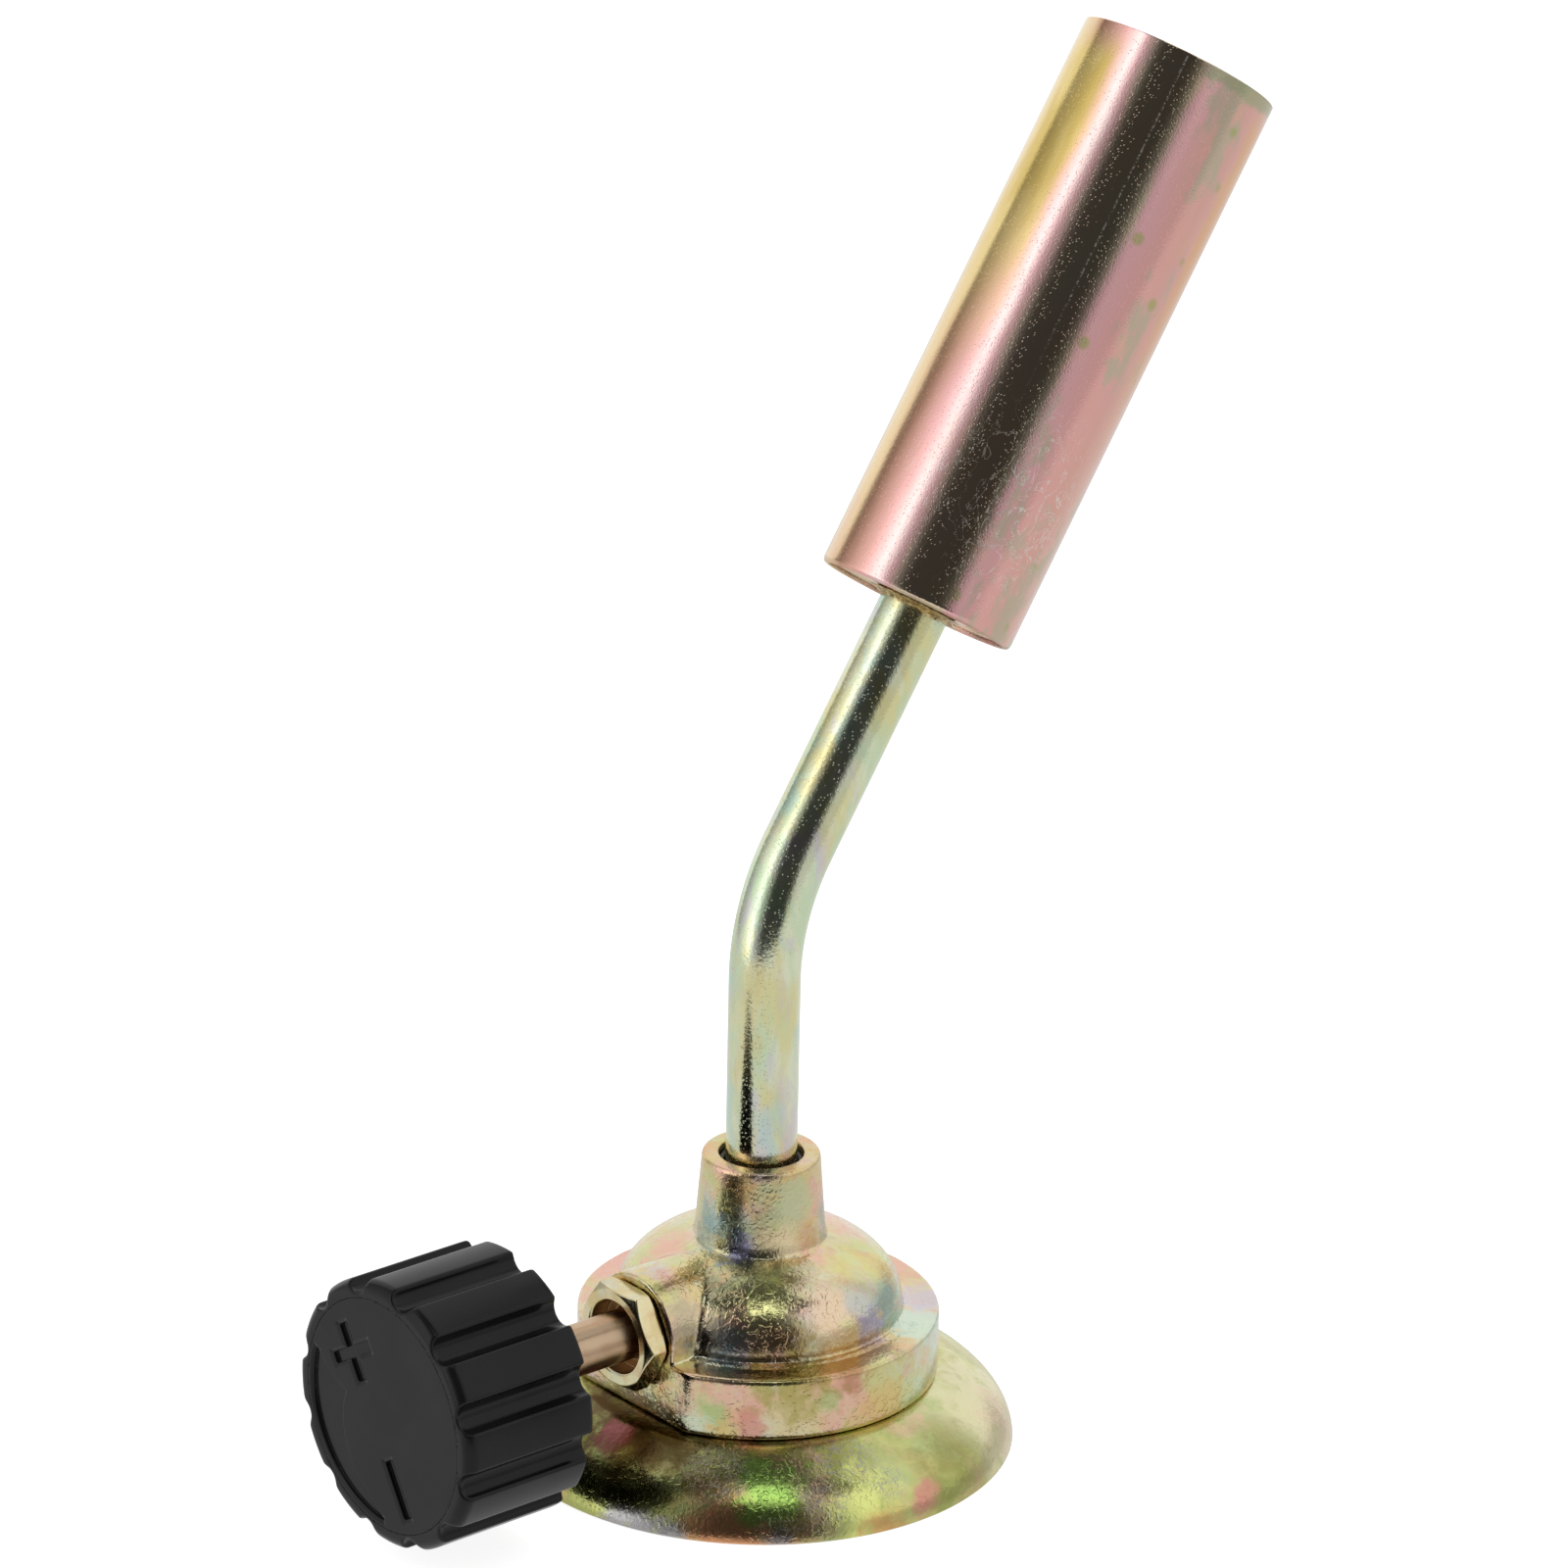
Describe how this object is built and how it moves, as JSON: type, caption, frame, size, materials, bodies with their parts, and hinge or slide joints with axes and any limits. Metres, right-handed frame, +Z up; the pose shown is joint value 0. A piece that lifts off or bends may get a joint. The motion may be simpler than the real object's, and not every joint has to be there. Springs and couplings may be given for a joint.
{
  "type": "gas torch head",
  "caption": "Screw-on gas torch head: round dish base, cast needle-valve body with fluted side knob, bent gas tube and a leaning cylindrical burner.",
  "frame": {"origin": "middle of the bounding box's bottom face, on the plane of the dish's rim; the cartridge's axis is the vertical line X = -7.02 mm, Y = 0", "axes": "+Z up along the cartridge's axis; -X out along the valve spindle through the knob; the burner leans towards +X; +Y completes the frame"},
  "size_m": [0.12, 0.058, 0.1563],
  "materials": {
    "chromate_steel": "yellow chromate over zinc, glossy and iridescent, olive to gold with green and pink patches",
    "chromate_casting": "yellow chromate on a die casting, fine orange peel, pink, gold, green and teal patches",
    "plated_tube": "smooth pale yellow-green plating",
    "plated_plate": "plated steel plate, satin",
    "flame_tube_steel": "glossy plated steel, pink, gold and grey-green tints with fine scratches and pits",
    "nut_brass": "pale machined brass, glossy",
    "spindle_brass": "turned brown brass with lengthwise streaks",
    "brass": "machined brass",
    "sintered_bronze": "grainy sintered bronze",
    "rubber": "black nitrile rubber",
    "fibre": "off-white sealing fibre",
    "knob_plastic": "black moulded plastic, satin"
  },
  "bodies": {
    "torch_frame": {"base_dish": "chromate_steel", "valve_body": "chromate_casting", "cartridge_adapter": "brass", "cartridge_seal": "rubber", "opener_pin": "brass", "adapter_o_ring": "rubber", "inlet_filter": "sintered_bronze", "valve_seat": "brass", "gland_washer": "fibre", "gland_nut": "nut_brass", "gas_tube": "plated_tube", "tube_o_ring": "rubber", "burner_tube": "flame_tube_steel", "burner_rear_plate": "plated_plate", "jet_holder": "brass", "jet_filter": "sintered_bronze", "gas_jet": "brass", "mixing_tube": "brass", "flame_holder": "plated_plate"},
    "spindle_ring": {"spindle_o_ring": "rubber"},
    "knob_and_spindle": {"valve_spindle": "spindle_brass", "control_knob": "knob_plastic"}
  },
  "joints": [
    {"name": "spindle_travel", "type": "slide", "parent": "torch_frame", "child": "spindle_ring", "axis": [-1, 0, 0], "range_m": [0, 0.0025]},
    {"name": "knob_turn", "type": "hinge", "parent": "spindle_ring", "child": "knob_and_spindle", "pos_m": [-0.03, 0, 0.0175], "axis": [-1, 0, 0], "range_deg": [0, 900]}
  ],
  "couplings": [
    {"joint": "spindle_travel", "follows": "knob_turn", "m_per_rad": 0.00015915}
  ]
}
